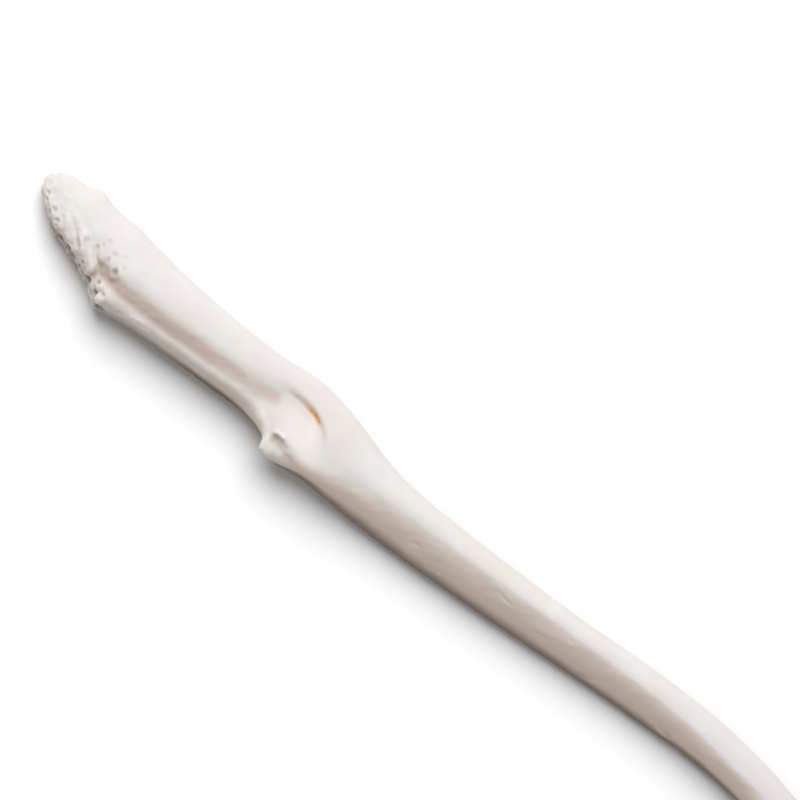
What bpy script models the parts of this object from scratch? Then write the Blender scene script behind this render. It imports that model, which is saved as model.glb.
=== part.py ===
"""A raccoon baculum lying on its side: one bone, modelled in metres with +Z up.

The bone is lofted from rings that follow its long axis. The plan (what is seen from straight above) gives
the two edges of every ring, and the side view gives its top and underside. Between them a ring is made of
four quarters of ovals: from the ridge on top round to the upper edge, from the ridge down a slope to the
lower edge, and from both edges round to the bottom. The healed wound, the groove, the keel, the strip on
the spur and the pits and lumps of the base are then pressed into that form or drawn on it.

All the sizes below are millimetres in the plan's own frame: u runs along the shaft from the nose of the
base, v runs across it, z is the height above the surface that the bone lies on.
"""

import math

import bmesh
import bpy
import numpy as np
from mathutils import Vector, noise

MILLIMETRE = 0.001

# Where the middle of the bone's floor area lies in the plan's frame
PLAN_MIDDLE = (52.204, -10.279)

# Long axis: straight up to the hook, then it turns by this many radians a millimetre
SPINE_V = -4.5
BONE_LENGTH = 113.0
HOOK_TURN = [
    (0, 0), (74, 0), (78, 0.0184), (86, 0.0184), (93, 0.043), (100, 0.073), (107, 0.066), (113, 0.02),
]
AXIS_STEP = 0.05

# The two edges of the plan, as (distance along the axis, v)
UPPER_EDGE = [
    (-0.1, 0.2), (-0.04, 0.55), (0.1, 0.85), (0.4, 1.15), (1, 1.55), (2, 1.8), (3.5, 1.87), (4.9, 2.35),
    (6, 2.05), (7.2, 1.75), (8.5, 1.7), (9.7, 1.7), (10.5, 1.55), (12, 1.22), (13, 1.08), (14.5, 0.86),
    (17, 0.62), (21, 0.35), (25, 0.15), (28, 0.28), (31, 0.5), (34, 0.1), (37, -0.62), (41, -1.8),
    (43, -2.15), (46, -2.37), (52, -2.55), (58, -2.6), (64, -2.5), (70, -2.27), (74, -2.17),
    (77, -2.22), (81, -2.36), (86, -2.45), (92, -2.5), (100, -2.52), (106, -2.42), (110, -2.3),
    (113, -2.35),
]
LOWER_EDGE = [
    (-0.1, 0.2), (-0.04, -0.1), (0.05, -0.5), (0.2, -0.88), (0.7, -1.3), (1.5, -1.95), (3, -3.15),
    (3.6, -3.43), (4.2, -3.52), (5, -3.85), (6, -4.2), (6.6, -4.27), (8, -5.05), (9, -5.55),
    (9.6, -6.08), (10.1, -6.42), (10.6, -6.56), (11.2, -6.54), (13, -6.32), (17, -6.2), (21, -6.1),
    (25, -6.05), (28, -6.2), (29, -6.36), (29.7, -6.66), (29.98, -7.0), (30.08, -7.45), (30.2, -7.76),
    (30.6, -7.94), (31.2, -8.04), (32.5, -8.0), (33.5, -7.88), (35, -7.73), (37, -7.85), (41, -8.05),
    (46, -8.05), (52, -7.87), (58, -7.6), (64, -7.3), (70, -7.02), (76, -6.84), (81, -6.7), (86, -6.56),
    (92, -6.5), (100, -6.5), (106, -6.6), (110, -6.72), (113, -6.65),
]
# The shaft's own lower edge beside the spur, which sticks out over it. A point of a ring moves out with the
# spur by how far it lies towards the lower edge, and less the further it lies on the underside.
SHAFT_LOWER_EDGE = [(25, -6.05), (28, -6.15), (30, -6.5), (32, -7.1), (34, -7.55), (37, -7.85)]

SPUR_FROM_EDGE = (0.6, 1.0)
SPUR_BELOW_EDGE = (-0.1, 0.5)

# The top and the underside in side view
TOP_LINE = [
    (-0.1, 1.8), (-0.02, 2.0), (0.2, 2.3), (0.6, 2.65), (1.2, 3.0), (2, 3.35), (4, 4.0), (7, 4.75),
    (11, 5.4), (17, 5.6), (24, 5.4), (29, 5.05), (32, 5.1), (36, 5.3), (41, 5.3), (50, 5.15), (60, 4.9),
    (70, 4.7), (80, 4.58), (90, 4.6), (97, 4.8), (103, 5.25), (108, 5.8), (113, 5.9),
]
UNDERSIDE = [
    (-0.1, 1.75), (-0.02, 1.5), (0.2, 1.2), (0.6, 0.85), (1.2, 0.55), (2, 0.3), (4, 0.02), (7, -0.1),
    (10, -0.08), (14, 0.15), (20, 0.45), (30, 0.5), (40, 0.45), (50, 0.35), (60, 0.15), (70, -0.05),
    (80, -0.1), (88, -0.03), (95, 0.15), (103, 0.3), (108, 0.4), (113, 0.5),
]

# Section: where the ridge stands between the middle (0) and the upper edge (1) or the lower edge (-1)
RIDGE = [
    (0, -0.3), (6, -0.28), (8, -0.1), (10, 0.0), (12, 0.04), (17, 0.06), (23, 0.08), (25, 0.06),
    (27.5, 0.0), (29.5, -0.26), (32, -0.5), (34, -0.46), (36, -0.3), (38, -0.06), (41, 0.16), (48, 0.3),
    (58, 0.36), (64, 0.34), (70, 0.25), (76, 0.14), (82, 0.0), (88, 0.0), (113, 0.0),
]
# How high the two edges lie, as a share of the bone's height there
LOWER_EDGE_HEIGHT = [
    (0, 0.35), (4, 0.2), (8, 0.2), (12, 0.22), (17, 0.22), (25, 0.22), (27.3, 0.26), (28.5, 0.42),
    (29.5, 0.64), (30.3, 0.74), (31.1, 0.7), (32, 0.48), (33, 0.28), (36, 0.2), (44, 0.14), (58, 0.14),
    (70, 0.15), (80, 0.2), (86, 0.3), (90, 0.4), (100, 0.5), (113, 0.5),
]
UPPER_EDGE_HEIGHT = [(0, 0.5), (17, 0.52), (40, 0.55), (70, 0.55), (90, 0.5), (113, 0.5)]
# How the slope below the ridge bends at the ridge and at the edge; 2 is an oval
RIDGE_BEND = [
    (0, 2.6), (7, 2.6), (9, 2.4), (12, 2.3), (17, 2.1), (25, 2.0), (27, 2.1), (28.5, 2.8), (29.5, 3.6),
    (30.5, 3.6), (32, 3.2), (34.5, 3.0), (36.5, 2.6), (39, 1.95), (41, 1.75), (46, 1.5), (70, 1.5),
    (85, 1.7), (100, 2.0),
]
SLOPE_BEND = [
    (0, 2.6), (3, 3.2), (7, 3.2), (9, 2.6), (12, 2.4), (17, 2.1), (22, 1.95), (25, 1.95), (27, 2.2),
    (28, 2.8), (29, 3.6), (30, 3.9), (31, 3.5), (32.5, 3.1), (34.5, 2.95), (36.5, 2.7), (38.5, 2.1),
    (46, 1.7), (70, 1.7), (85, 1.85), (100, 2.0),
]
ROUND = 2.0

# The distal end closes over this length and carries two condyles, one above the other as the bone lies. The
# cleft between them is pressed in all round, halfway up, and fades out between its two reaches.
TIP_ROUNDING = 2.4
TIP_RINGS = 14
CONDYLE_RADIUS = 1.72
CONDYLE_STATION = 110.75
CONDYLE_HEIGHTS = (1.62, 4.98)
CONDYLE_BLEND = 0.5
CONDYLE_MERGE = 6
CLEFT_DEPTH = 0.55
CLEFT_WIDTH = 0.6
CLEFT_REACH = (2.0, 3.6)

# What is pressed or drawn acts on the side that faces up, and eases out between these two heights on a ring
UPPER_SIDE_EASE = (0.06, 0.42)

# The rim of the healed wound, the depth under it, how far its floor takes to rise again, its wall's width
WOUND_RIM = [
    (26, -2.9), (27, -2.65), (28, -2.35), (29, -2.12), (30, -2.02), (31, -2.06), (32, -2.18), (32.6, -2.32),
    (33.1, -2.55), (33.7, -2.9), (34.3, -3.35), (34.9, -4.0), (36, -5.2),
]
WOUND_DEPTH = [
    (26, 0), (27, 0.04), (28, 0.1), (29, 0.24), (30, 0.4), (31, 0.47), (32.6, 0.5), (33.2, 0.38),
    (33.8, 0.16), (34.8, 0.06), (36, 0),
]
WOUND_RISE = [(24, 2.4), (28, 3.3), (31, 4.0), (33, 4.0), (34.5, 3.0), (36, 2.0)]
WOUND_WALL = [
    (24, 1.6), (27, 1.9), (28, 1.6), (29, 1.1), (30, 0.95), (32, 0.6), (33, 0.45), (34, 0.5), (36, 0.8),
]
# Between these two places the wall turns from soft to crisp
CRISP_WALL = (28.2, 30.0)
# The ledge below the nub: its upper line, its depth, how far it takes to get there and to come back, and
# the share of its depth that comes back
LEDGE_LINE = [(30.2, -5.35), (31, -5.5), (32, -5.75), (34, -6.2)]
LEDGE_DEPTH = 0.38
LEDGE_STEP = 0.62
LEDGE_WIDTH = 1.7
LEDGE_RETURN = 0.8
LEDGE_STARTS = (30.3, 31.1)
LEDGE_ENDS = (31.3, 32.7)

# Strokes on the upper side: the points of their line, half width, height (negative is pressed in)
GROOVE = [
    (7.5, -2.0), (8.0, -2.7), (8.7, -3.3), (10, -3.8), (12, -4.08), (14, -4.1), (17, -4.0), (21, -3.88),
    (25, -3.7), (27, -3.6), (28.6, -3.4),
]
KEEL = [
    (10.8, -5.65), (12, -5.85), (14, -5.7), (17, -5.45), (19, -5.35), (24, -5.15), (26.5, -5.05),
    (28.3, -5.35),
]
STRIP = [(28.7, -5.65), (29.2, -5.9), (29.75, -6.35), (30.35, -7.1), (30.7, -7.5)]
STROKES = [
    (GROOVE, 1.0, -0.15),
    ([(9.2, -3.6), (11, -4.0), (14, -4.12), (18, -4.06), (22, -3.95), (25, -3.8)], 0.6, -0.1),
    ([(7.6, -2.3), (8.0, -2.88), (8.6, -3.2)], 0.28, -0.16),
    ([(8.4, -3.0), (9.2, -3.4), (10.5, -3.75)], 0.6, -0.18),
    ([(8.9, -3.2), (10, -3.55), (12, -3.75), (14.5, -3.8)], 0.7, -0.08),
    (KEEL, 0.55, 0.22),
    ([(11, -5.4), (12.5, -5.4), (14.5, -5.35), (17, -5.2)], 0.6, 0.07),
    ([(13.0, -5.8), (14.0, -5.55), (15.2, -5.2)], 0.22, 0.06),
    ([(5.9, -1.8), (6.8, -2.8), (7.6, -3.4), (8.3, -3.85)], 0.45, 0.2),
    (STRIP, 0.65, 0.15),
    ([(30.5, -5.5), (30.9, -5.62)], 0.18, 0.06),
]
STROKE_SHOULDER = 1.6

# Pits seen from above: u, v, radius, depth
PITS = [
    (0.93, -0.75, 0.2, 0.12), (1.23, -1.3, 0.22, 0.08), (2.35, -1.65, 0.3, 0.12),
    (2.1, -1.95, 0.22, 0.08), (3.28, -1.75, 0.26, 0.06), (3.15, -2.35, 0.26, 0.13),
    (3.35, -2.65, 0.22, 0.1), (5.38, -1.7, 0.26, 0.05), (5.78, -2.6, 0.24, 0.05),
    (6.48, -2.2, 0.32, 0.09), (7.58, -1.95, 0.18, 0.13), (7.88, -1.55, 0.16, 0.08),
    (8.18, -0.9, 0.28, 0.06), (9.18, -1.65, 0.32, 0.08), (9.08, -2.25, 0.28, 0.12),
    (10.18, -2.9, 0.32, 0.22), (10.28, -1.2, 0.26, 0.05), (10.78, -2.05, 0.26, 0.06),
    (2.8, -2.85, 0.2, 0.12), (3.4, -3.1, 0.3, 0.18), (4.45, -3.33, 0.4, 0.26), (5.5, -3.7, 0.38, 0.26),
    (6.0, -3.9, 0.38, 0.24), (7.38, -3.85, 0.18, 0.14), (7.2, -4.36, 0.31, 0.26),
    (7.9, -4.7, 0.32, 0.26), (8.65, -4.82, 0.4, 0.32), (9.5, -4.5, 0.27, 0.22),
    (9.95, -5.44, 0.3, 0.26), (9.5, -5.62, 0.27, 0.22), (10.64, -5.12, 0.2, 0.16),
    (10.6, -6.24, 0.24, 0.26), (11.25, -6.22, 0.26, 0.18), (11.68, -3.4, 0.26, 0.05),
    (12.65, -5.6, 0.28, 0.05),
]
# Lumps of new bone between them, the same way
LUMPS = [
    (8.5, -2.6, 0.35, 0.12), (10.2, -3.35, 0.35, 0.16), (9.2, -5.05, 0.3, 0.22), (10.55, -5.66, 0.48, 0.38),
    (9.9, -6.0, 0.35, 0.2), (9.95, -4.75, 0.4, 0.18), (6.6, -3.1, 0.4, 0.1), (8.3, -4.3, 0.3, 0.15),
    (4.95, -2.9, 0.4, 0.1), (3.75, -2.6, 0.3, 0.1), (2.6, -2.1, 0.3, 0.08), (7.5, -4.0, 0.25, 0.1),
    (9.45, -2.65, 0.3, 0.1), (4.9, 2.0, 0.7, 0.1),
]
PIT_SHOULDER = 1.2
PIT_PROFILE = 0.9
LUMP_SHOULDER = 1.5
LUMP_PROFILE = 1.5

# The coarse bone of the base end: it is roughest along the oblique end face, from the nose to this corner
END_FACE_FROM = (0.0, 0.2)
END_FACE_TO = (10.5, -6.55)
COARSE_DEPTH = (0.3, 3.2)
COARSE_END = (10.8, 12.6)
LUMP_SIZE = 1.5
SMALL_LUMP_SIZE = 0.65
LUMP_HEIGHT = 0.2
PORE_SPACING = 1.15
PORE_RADIUS = 0.42
PORE_DEPTH = 0.4
PORE_SHARE_ON_TOP = 0.08
SWELL_SHARE_ON_TOP = 0.5
SMOOTH_BELOW = 0.01

# Rings: how far apart they are along the bone, and how many points each has
NOSE = -0.1
NOSE_START = 0.004
NOSE_END = 0.5
NOSE_STEP = 0.02
NOSE_GROWTH = 0.35
RING_SPACING = [
    (0, 0.2), (13, 0.2), (15, 0.6), (25, 0.6), (27, 0.2), (36, 0.2), (39, 0.8), (95, 0.8), (107, 0.4),
    (113, 0.25),
]
RING_POINTS = 96
MOST_TRIANGLES = 9500
# The block that cuts the rests flat, larger than the bone all round
REST_SLAB = np.array((130.0, 50.0, 3.0))


def clear_scene():
    for thing in list(bpy.data.objects):
        bpy.data.objects.remove(thing, do_unlink=True)


def line_through(points):
    """A smooth line through hand-chosen (station, value) points, as a function of the station.

    It never swings past its points, because each tangent is the harmonic mean of the slopes beside it.
    """
    station, value = np.array(points, float).T
    step = np.diff(station)
    slope = np.diff(value) / step
    before, after = slope[:-1], slope[1:]
    one_way = before * after > 0
    tangent = np.zeros_like(value)
    tangent[0], tangent[-1] = slope[0], slope[-1]
    weight = 2 * step[1:] + step[:-1], 2 * step[:-1] + step[1:]
    blend = weight[0] * after + weight[1] * before
    tangent[1:-1] = np.where(one_way, sum(weight) * before * after / np.where(one_way, blend, 1), 0)

    def at(where):
        where = np.clip(where, station[0], station[-1])
        i = np.clip(np.searchsorted(station, where, side="right") - 1, 0, len(step) - 1)
        h = step[i]
        x = (where - station[i]) / h
        ends = value[i] * (1 + 2 * x) * (1 - x) ** 2 + value[i + 1] * x * x * (3 - 2 * x)
        pulls = tangent[i] * h * x * (1 - x) ** 2 + tangent[i + 1] * h * x * x * (x - 1)
        return ends + pulls

    return at


def smooth_step(low, high, value):
    x = np.clip((value - low) / (high - low), 0.0, 1.0)
    return x * x * (3 - 2 * x)


def spine(station):
    """Plan position and heading of the long axis; it bends towards -v in the hook."""
    fine = np.arange(0, BONE_LENGTH + AXIS_STEP, AXIS_STEP)
    heading = np.cumsum(line_through(HOOK_TURN)(fine)) * AXIS_STEP
    u = np.cumsum(np.cos(heading)) * AXIS_STEP
    v = SPINE_V - np.cumsum(np.sin(heading)) * AXIS_STEP
    inside = np.clip(station, 0, BONE_LENGTH)
    along = np.interp(inside, fine, u - u[0]) + np.minimum(station, 0)
    return along, np.interp(inside, fine, v), np.interp(inside, fine, heading)


def unit_section(station, angle):
    """One ring before it is sized: across runs from -1 to 1 between the edges, height from 0 to 1."""
    sideways, upward = np.cos(angle), np.sin(angle)
    above, beyond = upward > 0, sideways > 0
    ridge = np.where(above, line_through(RIDGE)(station), 0)
    across_bend = np.where(above & ~beyond, line_through(RIDGE_BEND)(station), ROUND)
    height_bend = np.where(above & ~beyond, line_through(SLOPE_BEND)(station), ROUND)
    upper, lower = line_through(UPPER_EDGE_HEIGHT)(station), line_through(LOWER_EDGE_HEIGHT)(station)
    edge = np.where(beyond, upper, lower)
    reach = np.where(beyond, 1 - ridge, 1 + ridge)
    across = ridge + np.sign(sideways) * reach * np.abs(sideways) ** (2 / across_bend)
    height = edge + np.where(above, 1 - edge, -edge) * np.abs(upward) ** (2 / height_bend)
    return across, height


def lofted_form(stations, angles):
    """Points of the plain form, one row a ring: the sections sized to the plan and the side view."""
    station, angle = stations[:, None], angles[None, :]
    across, height = unit_section(station, angle)
    upper, outline = line_through(UPPER_EDGE)(station), line_through(LOWER_EDGE)(station)
    beside_spur = (station > SHAFT_LOWER_EDGE[0][0]) & (station < SHAFT_LOWER_EDGE[-1][0])
    lower = np.where(beside_spur, line_through(SHAFT_LOWER_EDGE)(station), outline)
    top, bottom = line_through(TOP_LINE)(station), line_through(UNDERSIDE)(station)
    from_tip = np.clip((station - (BONE_LENGTH - TIP_ROUNDING)) / TIP_ROUNDING, 0, 1)
    closing = np.sqrt(1 - from_tip ** 2)
    side = (upper + lower) / 2 + across * (upper - lower) / 2 * closing - SPINE_V
    height = (top + bottom) / 2 + (height - 0.5) * (top - bottom) * closing
    towards_edge = smooth_step(*SPUR_FROM_EDGE, -np.cos(angle))
    underneath = smooth_step(*SPUR_BELOW_EDGE, -np.sin(angle))
    side = side + (outline - lower) * towards_edge * (1 - underneath)
    spine_u, spine_v, heading = spine(station)
    u = spine_u + side * np.sin(heading)
    v = spine_v + side * np.cos(heading)
    return np.stack([u, v, height + 0 * u], axis=-1)


def normals_of(grid):
    """Outward direction at every point of the rings."""
    along = np.gradient(grid, axis=0)
    around = np.roll(grid, -1, axis=1) - np.roll(grid, 1, axis=1)
    outward = np.cross(around, along)
    return outward / np.maximum(np.linalg.norm(outward, axis=-1, keepdims=True), 1e-9)


def distance_to_line(u, v, points):
    nearest = np.full(u.shape, np.inf)
    for (u0, v0), (u1, v1) in zip(points[:-1], points[1:]):
        du, dv = u1 - u0, v1 - v0
        share = np.clip(((u - u0) * du + (v - v0) * dv) / (du * du + dv * dv), 0, 1)
        nearest = np.minimum(nearest, np.hypot(u - u0 - share * du, v - v0 - share * dv))
    return nearest


def upper_side(angles):
    """1 on the side that faces up, easing to 0 at the two edges of the plan."""
    return smooth_step(*UPPER_SIDE_EASE, np.sin(angles))[None, :]


def press_wound(grid, angles):
    """The hollow under the rim, whose floor rises again to the lower edge, and the ledge below the nub."""
    u, v = grid[..., 0], grid[..., 1]
    under_rim = line_through(WOUND_RIM)(u) - v
    down = np.clip(1 + under_rim / line_through(WOUND_WALL)(u), 0, 1)
    crisp = smooth_step(*CRISP_WALL, u)
    wall = crisp * down ** 2 + (1 - crisp) * smooth_step(0, 1, down)
    rise = 1 - smooth_step(0, line_through(WOUND_RISE)(u), under_rim)
    beside_wound = (u > WOUND_RIM[0][0]) & (u < WOUND_RIM[-1][0])
    hollow = line_through(WOUND_DEPTH)(u) * wall * rise * beside_wound
    below = line_through(LEDGE_LINE)(u) - v
    comes_back = LEDGE_RETURN * smooth_step(LEDGE_STEP, LEDGE_WIDTH, below)
    ledge = smooth_step(0, LEDGE_STEP, below) * (1 - comes_back)
    ledge = LEDGE_DEPTH * ledge * smooth_step(*LEDGE_STARTS, u) * (1 - smooth_step(*LEDGE_ENDS, u))
    grid[..., 2] -= upper_side(angles) * (hollow + ledge)


def draw_strokes(grid, angles):
    u, v = grid[..., 0].copy(), grid[..., 1].copy()
    for points, half_width, height in STROKES:
        away = distance_to_line(u, v, points) / (STROKE_SHOULDER * half_width)
        near = np.clip(1 - away ** 2, 0, 1) ** 2
        grid[..., 2] += upper_side(angles) * height * near


def on_upper_side(grid, angles, u, v):
    """The point of the form that is seen from above at this place in the plan."""
    faces_up = np.sin(angles)[None, :] > UPPER_SIDE_EASE[0]
    away = np.hypot(grid[..., 0] - u, grid[..., 1] - v) + np.where(faces_up, 0, 2 * BONE_LENGTH)
    return grid[np.unravel_index(np.argmin(away), away.shape)]


def press_dots(grid, angles):
    """Pits and lumps at the places where they are seen, pushed along the surface's own direction."""
    form, outward = grid.copy(), normals_of(grid)
    for u, v, radius, depth in PITS:
        away = np.linalg.norm(form - on_upper_side(form, angles, u, v), axis=-1)
        dent = np.clip(1 - (away / (PIT_SHOULDER * radius)) ** 2, 0, 1) ** PIT_PROFILE
        grid -= (depth * dent)[..., None] * outward
    for u, v, radius, height in LUMPS:
        away = np.linalg.norm(form - on_upper_side(form, angles, u, v), axis=-1)
        swell = np.clip(1 - (away / (LUMP_SHOULDER * radius)) ** 2, 0, 1) ** LUMP_PROFILE
        grid += (height * swell)[..., None] * outward


def coarseness(grid):
    """How rough the bone is: 1 along the oblique end face, fading towards the shaft."""
    du, dv = END_FACE_TO[0] - END_FACE_FROM[0], END_FACE_TO[1] - END_FACE_FROM[1]
    across = (grid[..., 0] - END_FACE_FROM[0]) * -dv + (grid[..., 1] - END_FACE_FROM[1]) * du
    near_face = 1 - smooth_step(*COARSE_DEPTH, across / math.hypot(du, dv))
    return near_face * (1 - smooth_step(*COARSE_END, grid[..., 0]))


def roughen_base(grid, angles):
    """Lumps and open pores of the coarse bone, all round the base end."""
    rough = coarseness(grid)
    outward = normals_of(grid)
    on_top = upper_side(angles)[0]
    pores_open = 1 - (1 - PORE_SHARE_ON_TOP) * on_top
    swells = 1 - (1 - SWELL_SHARE_ON_TOP) * on_top
    for ring, point in zip(*np.nonzero(rough > SMOOTH_BELOW)):
        place = Vector(grid[ring, point])
        swell = noise.noise(place / LUMP_SIZE) + 0.5 * noise.noise(place / SMALL_LUMP_SIZE)
        distances, _ = noise.voronoi(place / PORE_SPACING)
        pore = max(0.0, 1 - (distances[0] * PORE_SPACING / PORE_RADIUS) ** 2)
        push = LUMP_HEIGHT * swell * swells[point] - PORE_DEPTH * pore * pores_open[point]
        grid[ring, point] += outward[ring, point] * push * rough[ring, point]


def swell_condyles(grid):
    """The two rounded lobes of the distal end, with a cleft pressed in all round between them."""
    u, v, _ = (float(x) for x in spine(np.array(CONDYLE_STATION)))
    for height in CONDYLE_HEIGHTS:
        away = grid - np.array([u, v, height])
        distance = np.maximum(np.linalg.norm(away, axis=-1, keepdims=True), 1e-6)
        swollen = (distance ** CONDYLE_MERGE + CONDYLE_RADIUS ** CONDYLE_MERGE) ** (1 / CONDYLE_MERGE)
        near = 1 - smooth_step(CONDYLE_RADIUS, CONDYLE_RADIUS + 2 * CONDYLE_BLEND, distance)
        grid += away / distance * (swollen - distance) * near
    middle = sum(CONDYLE_HEIGHTS) / 2
    away = grid[..., :2] - np.array([u, v])
    distance = np.linalg.norm(away, axis=-1)
    pressed = CLEFT_DEPTH * np.exp(-((grid[..., 2] - middle) / CLEFT_WIDTH) ** 2)
    pressed = pressed * (1 - smooth_step(*CLEFT_REACH, distance))
    grid[..., :2] -= away * (pressed / np.maximum(distance, CONDYLE_RADIUS))[..., None]


def ring_stations():
    """Close rings where the bone is rough or wounded, wide ones on the shaft, the closest at the nose."""
    spacing = line_through(RING_SPACING)
    stations = [NOSE + NOSE_START]
    while stations[-1] < NOSE_END:
        stations.append(stations[-1] + NOSE_STEP + NOSE_GROWTH * (stations[-1] - NOSE))
    while stations[-1] < BONE_LENGTH - TIP_ROUNDING:
        stations.append(stations[-1] + float(spacing(stations[-1])))
    start = stations[-1]
    quarter = np.linspace(0, math.pi / 2, TIP_RINGS)[1:-1]
    return np.array(stations + list(start + (BONE_LENGTH - start) * np.sin(quarter)))


def bone_mesh():
    """The whole form as rings of points, closed by a fan at the nose and at the tip."""
    angles = np.linspace(0, 2 * math.pi, RING_POINTS, endpoint=False)
    grid = lofted_form(ring_stations(), angles)
    press_wound(grid, angles)
    draw_strokes(grid, angles)
    press_dots(grid, angles)
    roughen_base(grid, angles)
    swell_condyles(grid)
    mesh = bmesh.new()
    rings = [[mesh.verts.new(point) for point in ring] for ring in grid]
    for one, other in zip(rings[:-1], rings[1:]):
        for i in range(RING_POINTS):
            j = (i + 1) % RING_POINTS
            mesh.faces.new((one[i], one[j], other[j], other[i]))
    for ring, step in ((rings[0], -1), (rings[-1], 1)):
        pole = mesh.verts.new(np.mean([vert.co for vert in ring], axis=0))
        for i in range(RING_POINTS):
            j = (i + 1) % RING_POINTS
            mesh.faces.new((ring[i], ring[j], pole)[::step])
    bmesh.ops.recalc_face_normals(mesh, faces=mesh.faces)
    return mesh


def bone_material():
    """Clean dry bone: chalky off-white with a soft sheen."""
    material = bpy.data.materials.new("bone")
    material.use_nodes = True
    shader = material.node_tree.nodes["Principled BSDF"]
    shader.inputs["Base Color"].default_value = (0.80, 0.76, 0.71, 1)
    shader.inputs["Roughness"].default_value = 0.55
    shader.inputs["Metallic"].default_value = 0.0
    return material


def thin_out(bone):
    """Fewer triangles where the bone is smooth."""
    bone.data.calc_loop_triangles()
    decimate = bone.modifiers.new("thin_out", "DECIMATE")
    decimate.ratio = MOST_TRIANGLES / len(bone.data.loop_triangles)
    decimate.use_collapse_triangulate = True


def flatten_rests(bone):
    """Cuts the small flats that the bone lies on: at the base, before the hook and under the tip."""
    size = REST_SLAB * MILLIMETRE
    bpy.ops.mesh.primitive_cube_add(size=1, location=(0, 0, -size[2] / 2))
    slab = bpy.context.object
    slab.name = "rest_slab"
    slab.scale = size
    slab.hide_render = True
    slab.display_type = "WIRE"
    cut = bone.modifiers.new("flatten_rests", "BOOLEAN")
    cut.operation = "DIFFERENCE"
    cut.solver = "EXACT"
    cut.object = slab


def make_baculum():
    mesh = bone_mesh()
    for vert in mesh.verts:
        vert.co.x -= PLAN_MIDDLE[0]
        vert.co.y -= PLAN_MIDDLE[1]
    bmesh.ops.scale(mesh, vec=(MILLIMETRE,) * 3, verts=mesh.verts)
    data = bpy.data.meshes.new("baculum")
    mesh.to_mesh(data)
    mesh.free()
    data.materials.append(bone_material())
    bone = bpy.data.objects.new("baculum", data)
    bpy.context.scene.collection.objects.link(bone)
    thin_out(bone)
    flatten_rests(bone)
    data.shade_smooth()
    return bone


clear_scene()
make_baculum()
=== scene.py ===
# %% [markdown]
# # A raccoon baculum, bleached and clean
#
# This lesson dresses one small bone, about 105 mm long, that lies on its side on a white table. The
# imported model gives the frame: where the bone lies and how large it is. The mesh here is the same bone
# with far closer points, so that pits, the healed wound and the grain of the surface are real shape.
#
# The first cell loads the frame and keeps its box. The bone is drawn in millimetres, and its mesh, the
# light and the camera are placed in metres, with +Z up.

# %% Load the frame
import math

import bmesh
import bpy
import numpy as np
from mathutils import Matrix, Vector, noise


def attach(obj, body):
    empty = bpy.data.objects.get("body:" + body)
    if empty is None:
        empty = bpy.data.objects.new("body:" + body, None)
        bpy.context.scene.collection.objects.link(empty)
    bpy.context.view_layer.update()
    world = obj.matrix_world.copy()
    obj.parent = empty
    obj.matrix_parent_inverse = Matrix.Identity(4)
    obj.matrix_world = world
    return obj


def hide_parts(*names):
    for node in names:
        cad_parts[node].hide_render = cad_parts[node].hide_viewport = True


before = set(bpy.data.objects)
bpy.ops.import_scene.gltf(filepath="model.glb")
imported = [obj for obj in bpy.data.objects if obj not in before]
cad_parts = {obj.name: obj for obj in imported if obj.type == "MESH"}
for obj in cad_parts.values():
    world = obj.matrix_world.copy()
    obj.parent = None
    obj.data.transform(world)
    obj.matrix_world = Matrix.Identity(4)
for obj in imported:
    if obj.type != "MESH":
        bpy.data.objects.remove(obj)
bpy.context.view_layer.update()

# %% [markdown]
# ## One plan for the whole bone
#
# A long bone is easiest to describe as a boat builder draws a hull: a plan, a side view and the form of
# its sections. In the plan's own frame u runs along the shaft in millimetres, starting at the base, v
# runs across it, and z is the height above the table.
#
# The long axis is straight as far as the hook. There it turns by a few hundredths of a radian a
# millimetre.

# %% The long axis
SPINE_V = -4.5
BONE_LENGTH = 113.0
HOOK_TURN = [
    (0, 0), (74, 0), (78, 0.0184), (86, 0.0184), (93, 0.043), (100, 0.073), (107, 0.066), (113, 0.02),
]
print("the long axis measures", BONE_LENGTH, "mm and starts to turn at", HOOK_TURN[1][0], "mm")

# %% [markdown]
# ## A smooth line through a few points
#
# Every edge below is a list of given points. A curve through them should be smooth and should
# not swing past them, or the edge would wobble. The harmonic mean of the slopes on both sides of a point
# gives such a curve, and costs less than fitting splines by hand.


# %% Lines and steps
def line_through(points):
    station, value = np.array(points, float).T
    step = np.diff(station)
    slope = np.diff(value) / step
    before, after = slope[:-1], slope[1:]
    one_way = before * after > 0
    tangent = np.zeros_like(value)
    tangent[0], tangent[-1] = slope[0], slope[-1]
    weight = 2 * step[1:] + step[:-1], 2 * step[:-1] + step[1:]
    blend = weight[0] * after + weight[1] * before
    tangent[1:-1] = np.where(one_way, sum(weight) * before * after / np.where(one_way, blend, 1), 0)

    def at(where):
        where = np.clip(where, station[0], station[-1])
        i = np.clip(np.searchsorted(station, where, side="right") - 1, 0, len(step) - 1)
        h = step[i]
        x = (where - station[i]) / h
        ends = value[i] * (1 + 2 * x) * (1 - x) ** 2 + value[i + 1] * x * x * (3 - 2 * x)
        pulls = tangent[i] * h * x * (1 - x) ** 2 + tangent[i + 1] * h * x * x * (x - 1)
        return ends + pulls

    return at


def smooth_step(low, high, value):
    x = np.clip((value - low) / (high - low), 0.0, 1.0)
    return x * x * (3 - 2 * x)


AXIS_STEP = 0.05
turn = np.sum(line_through(HOOK_TURN)(np.arange(0, BONE_LENGTH, AXIS_STEP))) * AXIS_STEP
print("the axis turns", round(math.degrees(turn)), "degrees")

# %% [markdown]
# ## The outline from above
#
# The oblique, knobbly base is on the left. The shaft narrows, swells where an old wound healed, and thins
# again towards the hook. The spur beside the wound makes the short step in the lower edge. On the
# underside the spur fades out, so there the bone follows `SHAFT_LOWER_EDGE`, which has no step.

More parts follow.
